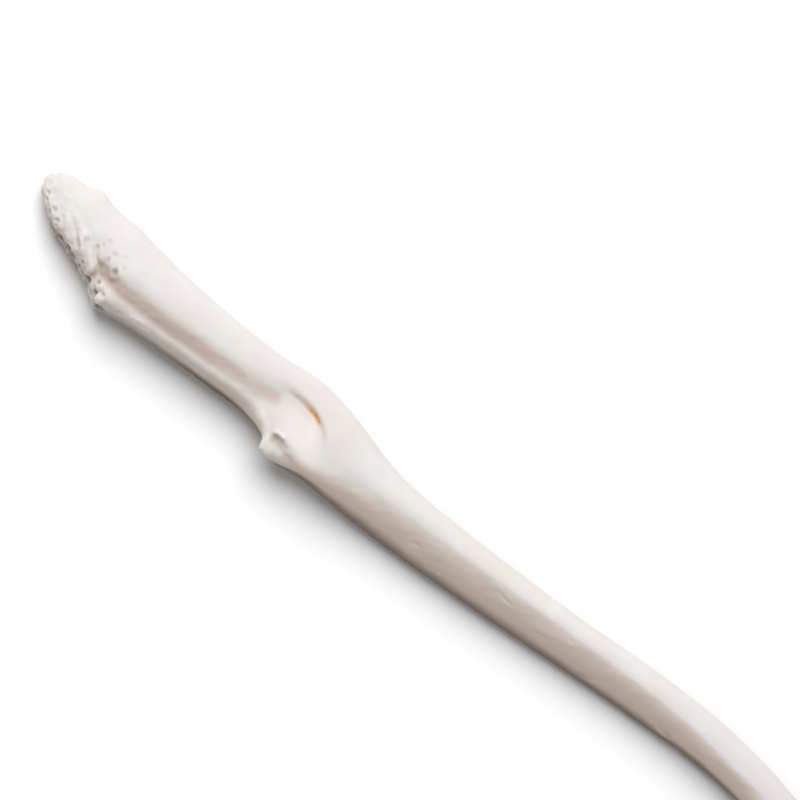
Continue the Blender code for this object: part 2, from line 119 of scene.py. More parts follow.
# %% Edges of the plan
UPPER_EDGE = [
    (-0.1, 0.2), (-0.04, 0.55), (0.1, 0.85), (0.4, 1.15), (1, 1.55), (2, 1.8), (3.5, 1.87), (4.9, 2.35),
    (6, 2.05), (7.2, 1.75), (8.5, 1.7), (9.7, 1.7), (10.5, 1.55), (12, 1.22), (13, 1.08), (14.5, 0.86),
    (17, 0.62), (21, 0.35), (25, 0.15), (28, 0.28), (31, 0.5), (34, 0.1), (37, -0.62), (41, -1.8),
    (43, -2.15), (46, -2.37), (52, -2.55), (58, -2.6), (64, -2.5), (70, -2.27), (74, -2.17),
    (77, -2.22), (81, -2.36), (86, -2.45), (92, -2.5), (100, -2.52), (106, -2.42), (110, -2.3),
    (113, -2.35),
]
LOWER_EDGE = [
    (-0.1, 0.2), (-0.04, -0.1), (0.05, -0.5), (0.2, -0.88), (0.7, -1.3), (1.5, -1.95), (3, -3.15),
    (3.6, -3.43), (4.2, -3.52), (5, -3.85), (6, -4.2), (6.6, -4.27), (8, -5.05), (9, -5.55),
    (9.6, -6.08), (10.1, -6.42), (10.6, -6.56), (11.2, -6.54), (13, -6.32), (17, -6.2), (21, -6.1),
    (25, -6.05), (28, -6.2), (29, -6.36), (29.7, -6.66), (29.98, -7.0), (30.08, -7.45), (30.2, -7.76),
    (30.6, -7.94), (31.2, -8.04), (32.5, -8.0), (33.5, -7.88), (35, -7.73), (37, -7.85), (41, -8.05),
    (46, -8.05), (52, -7.87), (58, -7.6), (64, -7.3), (70, -7.02), (76, -6.84), (81, -6.7), (86, -6.56),
    (92, -6.5), (100, -6.5), (106, -6.6), (110, -6.72), (113, -6.65),
]
SHAFT_LOWER_EDGE = [(25, -6.05), (28, -6.15), (30, -6.5), (32, -7.1), (34, -7.55), (37, -7.85)]
print(len(UPPER_EDGE), "points on the upper edge,", len(LOWER_EDGE), "on the lower one")

# %% [markdown]
# ## The side view and the sections
#
# The base and most of the shaft are flatter than they are wide, and near the hook it is the other way.
# The bone touches the table at the base, before the hook and under the tip, with small flats. The heights
# are guessed from the shading, because a picture from straight above doesn't show them.
#
# A section has a soft ridge on top. Beyond it the bone turns down roundly; on this side it falls away as
# a slope that steepens towards the lower edge, which lies low. Four quarters of ovals make that: they
# meet at the ridge, at the two edges and at the bottom, and an exponent bends each one.

# %% Heights and sections
TOP_LINE = [
    (-0.1, 1.8), (-0.02, 2.0), (0.2, 2.3), (0.6, 2.65), (1.2, 3.0), (2, 3.35), (4, 4.0), (7, 4.75),
    (11, 5.4), (17, 5.6), (24, 5.4), (29, 5.05), (32, 5.1), (36, 5.3), (41, 5.3), (50, 5.15), (60, 4.9),
    (70, 4.7), (80, 4.58), (90, 4.6), (97, 4.8), (103, 5.25), (108, 5.8), (113, 5.9),
]
UNDERSIDE = [
    (-0.1, 1.75), (-0.02, 1.5), (0.2, 1.2), (0.6, 0.85), (1.2, 0.55), (2, 0.3), (4, 0.02), (7, -0.1),
    (10, -0.08), (14, 0.15), (20, 0.45), (30, 0.5), (40, 0.45), (50, 0.35), (60, 0.15), (70, -0.05),
    (80, -0.1), (88, -0.03), (95, 0.15), (103, 0.3), (108, 0.4), (113, 0.5),
]
RIDGE = [
    (0, -0.3), (6, -0.28), (8, -0.1), (10, 0.0), (12, 0.04), (17, 0.06), (23, 0.08), (25, 0.06),
    (27.5, 0.0), (29.5, -0.26), (32, -0.5), (34, -0.46), (36, -0.3), (38, -0.06), (41, 0.16), (48, 0.3),
    (58, 0.36), (64, 0.34), (70, 0.25), (76, 0.14), (82, 0.0), (88, 0.0), (113, 0.0),
]
LOWER_EDGE_HEIGHT = [
    (0, 0.35), (4, 0.2), (8, 0.2), (12, 0.22), (17, 0.22), (25, 0.22), (27.3, 0.26), (28.5, 0.42),
    (29.5, 0.64), (30.3, 0.74), (31.1, 0.7), (32, 0.48), (33, 0.28), (36, 0.2), (44, 0.14), (58, 0.14),
    (70, 0.15), (80, 0.2), (86, 0.3), (90, 0.4), (100, 0.5), (113, 0.5),
]
UPPER_EDGE_HEIGHT = [(0, 0.5), (17, 0.52), (40, 0.55), (70, 0.55), (90, 0.5), (113, 0.5)]
RIDGE_BEND = [
    (0, 2.6), (7, 2.6), (9, 2.4), (12, 2.3), (17, 2.1), (25, 2.0), (27, 2.1), (28.5, 2.8), (29.5, 3.6),
    (30.5, 3.6), (32, 3.2), (34.5, 3.0), (36.5, 2.6), (39, 1.95), (41, 1.75), (46, 1.5), (70, 1.5),
    (85, 1.7), (100, 2.0),
]
SLOPE_BEND = [
    (0, 2.6), (3, 3.2), (7, 3.2), (9, 2.6), (12, 2.4), (17, 2.1), (22, 1.95), (25, 1.95), (27, 2.2),
    (28, 2.8), (29, 3.6), (30, 3.9), (31, 3.5), (32.5, 3.1), (34.5, 2.95), (36.5, 2.7), (38.5, 2.1),
    (46, 1.7), (70, 1.7), (85, 1.85), (100, 2.0),
]
print("the top line is highest at", max(height for _, height in TOP_LINE), "mm")

# %% [markdown]
# ## The axis in the plan, and one section
#
# Adding up the small turns tells where the axis runs and which way it heads, and a bend of any form comes
# out of the same few lines. A section is first worked out in shares, from -1 to 1 across and from 0 to 1
# in height, so that one function serves the thick base and the thin shaft.

# %% Axis and section
ROUND = 2.0


def spine(station):
    fine = np.arange(0, BONE_LENGTH + AXIS_STEP, AXIS_STEP)
    heading = np.cumsum(line_through(HOOK_TURN)(fine)) * AXIS_STEP
    u = np.cumsum(np.cos(heading)) * AXIS_STEP
    v = SPINE_V - np.cumsum(np.sin(heading)) * AXIS_STEP
    inside = np.clip(station, 0, BONE_LENGTH)
    along = np.interp(inside, fine, u - u[0]) + np.minimum(station, 0)
    return along, np.interp(inside, fine, v), np.interp(inside, fine, heading)


def unit_section(station, angle):
    sideways, upward = np.cos(angle), np.sin(angle)
    above, beyond = upward > 0, sideways > 0
    ridge = np.where(above, line_through(RIDGE)(station), 0)
    across_bend = np.where(above & ~beyond, line_through(RIDGE_BEND)(station), ROUND)
    height_bend = np.where(above & ~beyond, line_through(SLOPE_BEND)(station), ROUND)
    upper, lower = line_through(UPPER_EDGE_HEIGHT)(station), line_through(LOWER_EDGE_HEIGHT)(station)
    edge = np.where(beyond, upper, lower)
    reach = np.where(beyond, 1 - ridge, 1 + ridge)
    across = ridge + np.sign(sideways) * reach * np.abs(sideways) ** (2 / across_bend)
    height = edge + np.where(above, 1 - edge, -edge) * np.abs(upward) ** (2 / height_bend)
    return across, height


axis_end = [round(float(place), 1) for place in spine(np.array(BONE_LENGTH))[:2]]
print("the axis ends at u, v =", axis_end)

# %% [markdown]
# ## Lofting
#
# A swept curve gives one form of section all along. A loft with its own section at every ring follows the
# outline closely, so the rings are computed here, as an array of points: one row a ring. At the distal
# end the rings close like a quarter circle. A point moves out with the spur by how far it lies towards
# the lower edge, and less the further it lies on the underside.

# %% Loft the plain form
TIP_ROUNDING = 2.4
SPUR_FROM_EDGE = (0.6, 1.0)
SPUR_BELOW_EDGE = (-0.1, 0.5)


def lofted_form(stations, angles):
    station, angle = stations[:, None], angles[None, :]
    across, height = unit_section(station, angle)
    upper, outline = line_through(UPPER_EDGE)(station), line_through(LOWER_EDGE)(station)
    beside_spur = (station > SHAFT_LOWER_EDGE[0][0]) & (station < SHAFT_LOWER_EDGE[-1][0])
    lower = np.where(beside_spur, line_through(SHAFT_LOWER_EDGE)(station), outline)
    top, bottom = line_through(TOP_LINE)(station), line_through(UNDERSIDE)(station)
    from_tip = np.clip((station - (BONE_LENGTH - TIP_ROUNDING)) / TIP_ROUNDING, 0, 1)
    closing = np.sqrt(1 - from_tip ** 2)
    side = (upper + lower) / 2 + across * (upper - lower) / 2 * closing - SPINE_V
    height = (top + bottom) / 2 + (height - 0.5) * (top - bottom) * closing
    towards_edge = smooth_step(*SPUR_FROM_EDGE, -np.cos(angle))
    underneath = smooth_step(*SPUR_BELOW_EDGE, -np.sin(angle))
    side = side + (outline - lower) * (towards_edge * (1 - underneath))
    spine_u, spine_v, heading = spine(station)
    u = spine_u + side * np.sin(heading)
    v = spine_v + side * np.cos(heading)
    return np.stack([u, v, height + 0 * u], axis=-1)


beyond_edge, near_edge = lofted_form(np.array([BONE_LENGTH / 2]), np.array([0, math.pi]))[0]
print("halfway along, the bone is", round(float(beyond_edge[1] - near_edge[1]), 2), "mm wide")

# %% [markdown]
# ## Where the points are
#
# Rings stand a tenth of a millimetre apart at the base and the wound, where the detail is, and about a
# quarter of a millimetre apart on the plain shaft. The closest are at the nose, which rounds over within
# half a millimetre. With 152 points a ring the mesh stays under 200,000 triangles, and the cell prints
# how many.

# %% Rings
NOSE = -0.1
NOSE_START = 0.002
NOSE_END = 0.4
NOSE_STEP = 0.01
NOSE_GROWTH = 0.18
TIP_RINGS = 26
RING_SPACING = [
    (0, 0.1), (13, 0.1), (15, 0.2), (25, 0.2), (27, 0.1), (36, 0.1), (39, 0.26), (95, 0.26), (107, 0.2),
    (113, 0.16),
]
RING_POINTS = 152


def ring_stations():
    spacing = line_through(RING_SPACING)
    stations = [NOSE + NOSE_START]
    while stations[-1] < NOSE_END:
        stations.append(stations[-1] + NOSE_STEP + NOSE_GROWTH * (stations[-1] - NOSE))
    while stations[-1] < BONE_LENGTH - TIP_ROUNDING:
        stations.append(stations[-1] + float(spacing(stations[-1])))
    start = stations[-1]
    quarter = np.linspace(0, math.pi / 2, TIP_RINGS)[1:-1]
    return np.array(stations + list(start + (BONE_LENGTH - start) * np.sin(quarter)))


angles = np.linspace(0, 2 * math.pi, RING_POINTS, endpoint=False)
bone = lofted_form(ring_stations(), angles)
print(len(bone), "rings,", 2 * bone.shape[0] * bone.shape[1], "triangles")

# %% [markdown]
# ## Pressing and drawing
#
# What follows works like a thumb and a modelling tool in clay. The wound and the strokes act on the side
# that faces up and ease to nothing before the two edges of the plan, so the outline stays as it was
# drawn. `UPPER_SIDE_EASE` says between which two heights on a ring they ease.

# %% Helpers for pressing
UPPER_SIDE_EASE = (0.06, 0.42)


def upper_side(angles):
    return smooth_step(*UPPER_SIDE_EASE, np.sin(angles))[None, :]


def normals_of(grid):
    along = np.gradient(grid, axis=0)
    around = np.roll(grid, -1, axis=1) - np.roll(grid, 1, axis=1)
    outward = np.cross(around, along)
    return outward / np.maximum(np.linalg.norm(outward, axis=-1, keepdims=True), 1e-9)


def distance_to_line(u, v, points):
    nearest = np.full(u.shape, np.inf)
    for (u0, v0), (u1, v1) in zip(points[:-1], points[1:]):
        du, dv = u1 - u0, v1 - v0
        share = np.clip(((u - u0) * du + (v - v0) * dv) / (du * du + dv * dv), 0, 1)
        nearest = np.minimum(nearest, np.hypot(u - u0 - share * du, v - v0 - share * dv))
    return nearest


on_top = upper_side(angles)
print("pressing acts on", int((on_top > 0).sum()), "of the", RING_POINTS, "points of a ring")

# %% [markdown]
# ## The healed wound
#
# This looks like an old injury that healed open: a smooth hollow below a steep, curved rim, with a narrow
# slit along the rim that is stained ochre. `WOUND_RIM` is the line at the foot of that rim. The floor of
# the hollow rises again towards the lower edge. Its depth, the width of its wall and the distance over
# which the floor rises change along the wound. Cutting the hollow with a Boolean would leave a sharp
# border all round, so the points are moved down instead. Below the hollow a small ledge drops away,
# starts and ends softly, and mostly comes back up.

# %% Press the wound
WOUND_RIM = [
    (26, -2.9), (27, -2.65), (28, -2.35), (29, -2.12), (30, -2.02), (31, -2.06), (32, -2.18), (32.6, -2.32),
    (33.1, -2.55), (33.7, -2.9), (34.3, -3.35), (34.9, -4.0), (36, -5.2),
]
WOUND_DEPTH = [
    (26, 0), (27, 0.04), (28, 0.1), (29, 0.24), (30, 0.4), (31, 0.47), (32.6, 0.5), (33.2, 0.38),
    (33.8, 0.16), (34.8, 0.06), (36, 0),
]
WOUND_RISE = [(24, 2.4), (28, 3.3), (31, 4.0), (33, 4.0), (34.5, 3.0), (36, 2.0)]
WOUND_WALL = [
    (24, 1.6), (27, 1.9), (28, 1.6), (29, 1.1), (30, 0.95), (32, 0.6), (33, 0.45), (34, 0.5), (36, 0.8),
]
CRISP_WALL = (28.2, 30.0)
LEDGE_LINE = [(30.2, -5.35), (31, -5.5), (32, -5.75), (34, -6.2)]
LEDGE_DEPTH = 0.38
LEDGE_STEP = 0.62
LEDGE_WIDTH = 1.7
LEDGE_RETURN = 0.8
LEDGE_STARTS = (30.3, 31.1)
LEDGE_ENDS = (31.3, 32.7)


def press_wound(grid):
    u, v = grid[..., 0], grid[..., 1]
    under_rim = line_through(WOUND_RIM)(u) - v
    down = np.clip(1 + under_rim / line_through(WOUND_WALL)(u), 0, 1)
    crisp = smooth_step(*CRISP_WALL, u)
    wall = crisp * down ** 2 + (1 - crisp) * smooth_step(0, 1, down)
    rise = 1 - smooth_step(0, line_through(WOUND_RISE)(u), under_rim)
    beside_wound = (u > WOUND_RIM[0][0]) & (u < WOUND_RIM[-1][0])
    hollow = line_through(WOUND_DEPTH)(u) * wall * rise * beside_wound
    below = line_through(LEDGE_LINE)(u) - v
    comes_back = LEDGE_RETURN * smooth_step(LEDGE_STEP, LEDGE_WIDTH, below)
    ledge = LEDGE_DEPTH * smooth_step(0, LEDGE_STEP, below) * (1 - comes_back)
    ledge = ledge * smooth_step(*LEDGE_STARTS, u) * (1 - smooth_step(*LEDGE_ENDS, u))
    pressed = on_top * (hollow + ledge)
    grid[..., 2] -= pressed
    return pressed


print("the wound is pressed in by", round(float(press_wound(bone).max()), 2), "mm at the most")

# %% [markdown]
# ## Groove, keel, strip and slit
#
# These are the lines that the eye follows along the bone. The groove runs from a V at the base to the
# wound, with the keel and its three thin wrinkles below it. The strip runs down the spur, and the slit
# lies along the wound's rim. They have names, because they are drawn as shape here and tinted later
# along the same points, with stains, painted shade and painted light.

# %% Lines on the bone
GROOVE = [
    (7.5, -2.0), (8.0, -2.7), (8.7, -3.3), (10, -3.8), (12, -4.08), (14, -4.1), (17, -4.0), (21, -3.88),
    (25, -3.7), (27, -3.6), (28.6, -3.4),
]
KEEL = [
    (10.8, -5.65), (12, -5.85), (14, -5.7), (17, -5.45), (19, -5.35), (24, -5.15), (26.5, -5.05),
    (28.3, -5.35),
]
STRIP = [(28.7, -5.65), (29.2, -5.9), (29.75, -6.35), (30.35, -7.1), (30.7, -7.5)]
SLIT = [(30.6, -2.04), (31.4, -2.1), (32.1, -2.2), (32.6, -2.34), (33.15, -2.62)]
WRINKLES = [
    [(12.9, -5.92), (13.15, -5.72), (13.6, -5.55), (14.3, -5.45)],
    [(13.7, -5.28), (14.4, -5.1), (15.0, -5.02)],
    [(14.3, -5.66), (15.1, -5.5), (16.0, -5.42)],
]
print("the groove runs through", len(GROOVE), "points and the keel through", len(KEEL))

# %% [markdown]
# ## Drawing the strokes
#
# Each stroke is a short line with a half width and a height, and a negative height is pressed in. Besides
# the lines above there are a few low ridges and dents on the base and a small finger of bone beside the
# wound. The last nine strokes are faint marks on the shaft. Drawing them as shape, not as colour, lets
# the light find them from any side.

# %% Draw the strokes
STROKES = [
    (GROOVE, 1.0, -0.15),
    ([(9.2, -3.6), (11, -4.0), (14, -4.12), (18, -4.06), (22, -3.95), (25, -3.8)], 0.6, -0.1),
    ([(7.6, -2.3), (8.0, -2.88), (8.6, -3.2)], 0.28, -0.16),
    ([(8.4, -3.0), (9.2, -3.4), (10.5, -3.75)], 0.6, -0.18),
    ([(8.9, -3.2), (10, -3.55), (12, -3.75), (14.5, -3.8)], 0.7, -0.08),
    (KEEL, 0.6, 0.15),
    ([(11, -5.4), (12.5, -5.4), (14.5, -5.35), (17, -5.2)], 0.6, 0.07),
    (WRINKLES[0], 0.16, 0.09),
    (WRINKLES[1], 0.14, 0.07),
    (WRINKLES[2], 0.14, 0.07),
    ([(5.9, -1.8), (6.8, -2.8), (7.6, -3.4), (8.3, -3.85)], 0.45, 0.2),
    ([(4.6, -1.0), (5.2, -1.5), (6.0, -2.7)], 0.2, 0.08),
    ([(6.0, -2.4), (6.5, -3.0), (7.0, -3.7)], 0.2, 0.08),
    ([(3.6, -1.4), (4.4, -2.7)], 0.22, 0.07),
    ([(1.2, -0.9), (1.8, -1.8)], 0.2, 0.08),
    ([(5.2, -2.0), (5.9, -3.0)], 0.2, -0.07),
    ([(6.6, -2.6), (7.3, -3.4)], 0.2, -0.07),
    ([(8.8, -3.5), (9.0, -4.1), (9.5, -4.1)], 0.45, -0.16),
    (STRIP, 0.65, 0.15),
    ([(30.6, -5.68), (31.45, -5.66)], 0.22, 0.14),
    (SLIT[2:], 0.14, -0.22),
    ([(46.4, -6.25), (47.2, -6.08)], 0.17, -0.09),
    ([(46.8, -6.9), (47.6, -6.35)], 0.13, -0.055),
    ([(48.9, -7.15), (50.2, -6.85)], 0.14, -0.03),
    ([(55.4, -5.08), (56.2, -5.2)], 0.12, -0.03),
    ([(56.1, -5.2), (56.9, -5.28)], 0.15, -0.07),
    ([(60.5, -5.95), (61.4, -5.88)], 0.15, -0.07),
    ([(63.25, -4.72), (63.5, -4.6)], 0.12, -0.06),
    ([(65.9, -6.7), (67.2, -6.3)], 0.22, -0.05),
    ([(74.4, -6.15), (75.8, -6.3)], 0.22, -0.08),
]
STROKE_SHOULDER = 1.6


def draw_strokes(grid):
    u, v = grid[..., 0].copy(), grid[..., 1].copy()
    for points, half_width, height in STROKES:
        away = distance_to_line(u, v, points) / (STROKE_SHOULDER * half_width)
        grid[..., 2] += on_top * height * np.clip(1 - away ** 2, 0, 1) ** 2


draw_strokes(bone)
print(len(STROKES), "strokes drawn")

# %% [markdown]
# ## Where the pits and lumps are
#
# The base end is where the soft tissue was rooted, so its bone is coarse. The pits that show are placed
# one by one, as (u, v, radius, depth), and so are the lumps of bone between them, as (u, v, radius,
# height). Noise alone would make as many pits, but in other places than the real ones.

# %% Pits and lumps
PITS = [
    (0.93, -0.75, 0.2, 0.12), (1.23, -1.3, 0.22, 0.08), (2.35, -1.65, 0.3, 0.12),
    (2.1, -1.95, 0.22, 0.08), (3.28, -1.75, 0.26, 0.06), (3.15, -2.35, 0.26, 0.13),
    (3.35, -2.65, 0.22, 0.1), (5.38, -1.7, 0.26, 0.05), (5.78, -2.6, 0.24, 0.05),
    (6.48, -2.2, 0.32, 0.09), (7.58, -1.95, 0.18, 0.13), (7.88, -1.55, 0.16, 0.08),
    (8.18, -0.9, 0.28, 0.06), (9.18, -1.65, 0.32, 0.08), (9.08, -2.25, 0.28, 0.12),
    (10.18, -2.9, 0.32, 0.22), (10.28, -1.2, 0.26, 0.05), (10.78, -2.05, 0.26, 0.06),
    (2.8, -2.85, 0.2, 0.12), (3.4, -3.1, 0.3, 0.18), (4.45, -3.33, 0.4, 0.26), (5.5, -3.7, 0.38, 0.26),
    (6.0, -3.9, 0.38, 0.24), (7.38, -3.85, 0.18, 0.14), (7.2, -4.36, 0.31, 0.26),
    (7.9, -4.7, 0.32, 0.26), (8.65, -4.82, 0.4, 0.32), (9.5, -4.5, 0.27, 0.22),
    (9.95, -5.44, 0.3, 0.26), (9.5, -5.62, 0.27, 0.22), (10.64, -5.12, 0.2, 0.16),
    (10.6, -6.24, 0.24, 0.26), (11.25, -6.22, 0.26, 0.18), (11.68, -3.4, 0.26, 0.05),
    (12.65, -5.6, 0.28, 0.05),
]
LUMPS = [
    (8.5, -2.6, 0.35, 0.12), (10.2, -3.35, 0.35, 0.16), (9.2, -5.05, 0.3, 0.22), (10.55, -5.66, 0.48, 0.38),
    (9.9, -6.0, 0.35, 0.2), (9.95, -4.75, 0.4, 0.18), (6.6, -3.1, 0.4, 0.1), (8.3, -4.3, 0.3, 0.15),
    (4.95, -2.9, 0.4, 0.1), (3.75, -2.6, 0.3, 0.1), (2.6, -2.1, 0.3, 0.08), (7.5, -4.0, 0.25, 0.1),
    (9.45, -2.65, 0.3, 0.1), (4.9, 2.0, 0.7, 0.1),
]
print(len(PITS), "pits and", len(LUMPS), "lumps")

# %% [markdown]
# ## Pressing the pits
#
# Pits are pressed in, and lumps pushed out, along the surface's own direction. That direction, not the
# vertical, is what keeps a pit on a steep side round. A low lip stands round each pit, and a little noise
# keeps its edge from being a perfect circle. The deeper a pit is, the browner and darker it is painted:
# partly brown stain, partly painted shade in the hollow.
#
# `facing` is kept from before the pits, so that the painted shade of a slope doesn't break up inside them.

# %% Press the pits
PIT_SHOULDER = 1.2
PIT_PROFILE = 0.9
PIT_LIP = 0.3
LIP_PLACE = 1.35
LIP_WIDTH = 0.28
LUMP_SHOULDER = 1.5
LUMP_PROFILE = 1.5
UNEVEN_AS_FAR_AS = 13.5
UNEVEN_SHARE = 0.35
UNEVEN_PER_MM = 1.9
PIT_SHADE_PROFILE = 0.7
BROWNEST_DEPTH = 0.3
BROWN_BY_DEPTH = 1.4


def on_upper_side(grid, u, v):
    faces_up = np.sin(angles)[None, :] > UPPER_SIDE_EASE[0]
    away = np.hypot(grid[..., 0] - u, grid[..., 1] - v) + np.where(faces_up, 0, 2 * BONE_LENGTH)
    return grid[np.unravel_index(np.argmin(away), away.shape)]


def uneven_edges(form):
    uneven = np.ones(form.shape[:2])
    for ring, point in zip(*np.nonzero(form[..., 0] < UNEVEN_AS_FAR_AS)):
        uneven[ring, point] += UNEVEN_SHARE * noise.noise(Vector(form[ring, point]) * UNEVEN_PER_MM)
    return uneven


def press_dots(grid):
    form, outward = grid.copy(), normals_of(grid)
    stain, uneven = np.zeros(grid.shape[:2]), uneven_edges(form)
    for u, v, radius, depth in PITS:
        away = uneven * np.linalg.norm(form - on_upper_side(form, u, v), axis=-1)
        dent = np.clip(1 - (away / (PIT_SHOULDER * radius)) ** 2, 0, 1) ** PIT_PROFILE
        lip = PIT_LIP * np.exp(-((away / radius - LIP_PLACE) / LIP_WIDTH) ** 2)
        grid += (depth * (lip - dent))[..., None] * outward
        brown = min(1.0, depth / BROWNEST_DEPTH) ** BROWN_BY_DEPTH
        # Deeper pits are painted browner and darker: brown stain and painted shade in the hollow.
        stain = np.maximum(stain, dent ** PIT_SHADE_PROFILE * brown)
    for u, v, radius, height in LUMPS:
        away = np.linalg.norm(form - on_upper_side(form, u, v), axis=-1)
        swell = np.clip(1 - (away / (LUMP_SHOULDER * radius)) ** 2, 0, 1) ** LUMP_PROFILE
        grid += (height * swell)[..., None] * outward
    return stain


facing = normals_of(bone)
pit_shade_and_brown = press_dots(bone)
print(int((pit_shade_and_brown > 0).sum()), "points lie in a pit")

# %% [markdown]
# ## Where the bone is coarse
#
# Between the placed pits, and on the sides that the plan doesn't show, the roughness comes from noise. It
# is strongest near the oblique end face and fades away from it, so how coarse a point is comes first, as
# a number from 0 to 1.

# %% Coarseness
END_FACE_FROM = (0.0, 0.2)
END_FACE_TO = (10.5, -6.55)
COARSE_DEPTH = (0.3, 3.2)
COARSE_END = (10.8, 12.6)
SMOOTH_BELOW = 0.01


def coarseness(grid):
    du, dv = END_FACE_TO[0] - END_FACE_FROM[0], END_FACE_TO[1] - END_FACE_FROM[1]
    across = (grid[..., 0] - END_FACE_FROM[0]) * -dv + (grid[..., 1] - END_FACE_FROM[1]) * du
    near_face = 1 - smooth_step(*COARSE_DEPTH, across / math.hypot(du, dv))
    return near_face * (1 - smooth_step(*COARSE_END, grid[..., 0]))


print(int((coarseness(bone) > SMOOTH_BELOW).sum()), "points are coarse")

# %% [markdown]
# ## Lumps, streaks and pores
#
# Perlin noise swells the surface in two sizes, in streaks that run slantwise and in a fine grain. Voronoi
# cells, each with a small bowl in its middle, open the pores. On top, where the pits are listed, the swells
# are halved and the pores are nearly closed.

# %% Roughen the base
LUMP_SIZE = 1.5
SMALL_LUMPS = 2.3
SMALL_LUMP_SHARE = 0.5
LUMP_HEIGHT = 0.2
STREAK_TURN = (0.75, 0.66)
STREAK_STRETCH = 3.4
STREAK_LENGTH = 2.2
STREAK_SHARE = 0.8
GRAIN_SIZE = 0.4
GRAIN_HEIGHT = 0.07
PORE_SPACING = 1.15
PORE_RADIUS = 0.42
PORE_DEPTH = 0.4
SWELLS_LOST_ON_TOP = 0.5
PORES_CLOSED_ON_TOP = 0.92


def swell_at(place):
    cosine, sine = STREAK_TURN
    along, across = cosine * place.x - sine * place.y, sine * place.x + cosine * place.y
    streak = Vector((along, STREAK_STRETCH * across, place.z)) / STREAK_LENGTH
    lumps = noise.noise(place / LUMP_SIZE)
    small_lumps = noise.noise(place / LUMP_SIZE * SMALL_LUMPS)
    return lumps + SMALL_LUMP_SHARE * small_lumps + STREAK_SHARE * noise.noise(streak)


def pore_at(place):
    distances, _ = noise.voronoi(place / PORE_SPACING)
    return max(0.0, 1 - (distances[0] * PORE_SPACING / PORE_RADIUS) ** 2)


def roughen_base(grid):
    rough, outward = coarseness(grid), normals_of(grid)
    swells, pores = 1 - SWELLS_LOST_ON_TOP * on_top[0], 1 - PORES_CLOSED_ON_TOP * on_top[0]
    stain = np.zeros(grid.shape[:2])
    for ring, point in zip(*np.nonzero(rough > SMOOTH_BELOW)):
        place = Vector(grid[ring, point])
        pore = pore_at(place) * pores[point]
        grain = noise.noise(place / GRAIN_SIZE)
        swell = LUMP_HEIGHT * swell_at(place) + GRAIN_HEIGHT * grain
        push = swell * swells[point] - PORE_DEPTH * pore
        grid[ring, point] += outward[ring, point] * push * rough[ring, point]
        # Pores are painted darker by their depth: brown stain and painted shade in the hollow.
        stain[ring, point] = pore * rough[ring, point]
    return stain


pore_shade_and_brown = roughen_base(bone)
print(int((pore_shade_and_brown > 0).sum()), "points lie in a pore")

# %% [markdown]
# ## Ripple
#
# Compact bone is never quite flat. A wide, low ripple runs over the whole of it, and a finer one runs
# slantwise over the slope. Both are a few hundredths of a millimetre high: enough to break up the light,
# too little to change the outline. The finer one fades out over the ridge and leaves the far side smooth.

# %% Ripple the surface
RIPPLE_WIDE = 0.06
RIPPLE_FINE = 0.035
WIDE_PER_MM = (0.35, 0.7, 0.7)
FINE_PER_MM = (0.6, 2.2, 1.2)
FINE_TURN = (0.87, 0.5)
FINE_SHIFT = (0, 0, 7)
SLOPE_FACING = (-0.1, 0.5)


def ripple(grid):
    outward = normals_of(grid)
    fine_height = RIPPLE_FINE * smooth_step(*SLOPE_FACING, -outward[..., 1])
    cosine, sine = FINE_TURN
    for ring, point in np.ndindex(grid.shape[:2]):
        u, v, z = grid[ring, point]
        turned = np.array((cosine * u + sine * v, cosine * v - sine * u, z))
        wide = noise.noise(Vector(grid[ring, point] * WIDE_PER_MM))
        fine = noise.noise(Vector(turned * FINE_PER_MM + FINE_SHIFT))
        grid[ring, point] += outward[ring, point] * (RIPPLE_WIDE * wide + fine_height[ring, point] * fine)


ripple(bone)
print("ripple of up to", RIPPLE_WIDE + RIPPLE_FINE, "mm")

# %% [markdown]
# ## The two condyles
#
# The distal end of a raccoon's baculum carries two round lobes with a cleft between them. Points near a
# sphere round each lobe's centre are pushed out to it. The two spheres alone would leave hardly any
# cleft, so one is pressed in all round, halfway up. The photograph cuts this end off, so its form is a
# guess.

# %% Swell the condyles
CONDYLE_RADIUS = 1.72
CONDYLE_STATION = 110.75
CONDYLE_HEIGHTS = (1.62, 4.98)
CONDYLE_BLEND = 0.5
CONDYLE_MERGE = 6
CLEFT_DEPTH = 0.55
CLEFT_WIDTH = 0.6
CLEFT_REACH = (2.0, 3.6)


def swell_condyles(grid):
    u, v, _ = (float(x) for x in spine(np.array(CONDYLE_STATION)))
    for height in CONDYLE_HEIGHTS:
        away = grid - np.array([u, v, height])
        distance = np.maximum(np.linalg.norm(away, axis=-1, keepdims=True), 1e-6)
        swollen = (distance ** CONDYLE_MERGE + CONDYLE_RADIUS ** CONDYLE_MERGE) ** (1 / CONDYLE_MERGE)
        near = 1 - smooth_step(CONDYLE_RADIUS, CONDYLE_RADIUS + 2 * CONDYLE_BLEND, distance)
        grid += away / distance * (swollen - distance) * near
    middle = sum(CONDYLE_HEIGHTS) / 2
    away = grid[..., :2] - np.array([u, v])
    distance = np.linalg.norm(away, axis=-1)
    pressed = CLEFT_DEPTH * np.exp(-((grid[..., 2] - middle) / CLEFT_WIDTH) ** 2)
    pressed = pressed * (1 - smooth_step(*CLEFT_REACH, distance))
    grid[..., :2] -= away * (pressed / np.maximum(distance, CONDYLE_RADIUS))[..., None]


swell_condyles(bone)
print("the bone is highest at the tip,", round(float(bone[..., 2].max()), 2), "mm")
